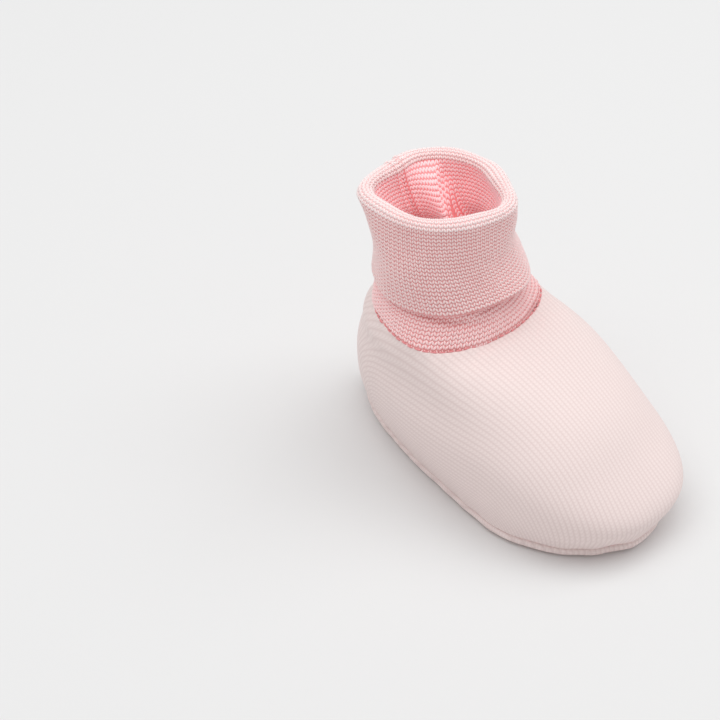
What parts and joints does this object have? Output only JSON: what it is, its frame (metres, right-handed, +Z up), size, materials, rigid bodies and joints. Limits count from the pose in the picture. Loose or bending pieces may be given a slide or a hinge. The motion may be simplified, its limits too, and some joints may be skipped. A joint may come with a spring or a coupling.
{
  "type": "baby bootie",
  "caption": "Soft pink cotton baby bootie with a rounded jersey foot, padded sole, full lining and a turned-down rib-knit cuff around the foot entry.",
  "frame": {"origin": "on the ground under the middle of the sole, at the bottom centre of the bounding box", "axes": "+Z up, +Y towards the heel along the foot, -Y towards the toe, X across the foot"},
  "size_m": [0.0622, 0.1061, 0.0825],
  "materials": {
    "jersey": "pale pink fine cotton jersey, matt",
    "rib_knit": "deeper pink rib knit, matt",
    "lining": "pale pink cotton jersey lining, matt",
    "wadding": "white polyester wadding, matt",
    "thread": "pink sewing thread, slight sheen"
  },
  "bodies": {
    "root": {"sole_outer": "jersey", "upper_outer": "jersey", "cuff": "rib_knit", "sole_lining": "lining", "upper_lining": "lining", "sole_padding": "wadding", "ankle_seam_thread": "thread", "sole_seam_thread": "thread", "heel_seam_thread": "thread", "cuff_seam_thread": "thread", "lining_heel_seam_thread": "thread", "lining_sole_seam_thread": "thread"}
  },
  "joints": []
}
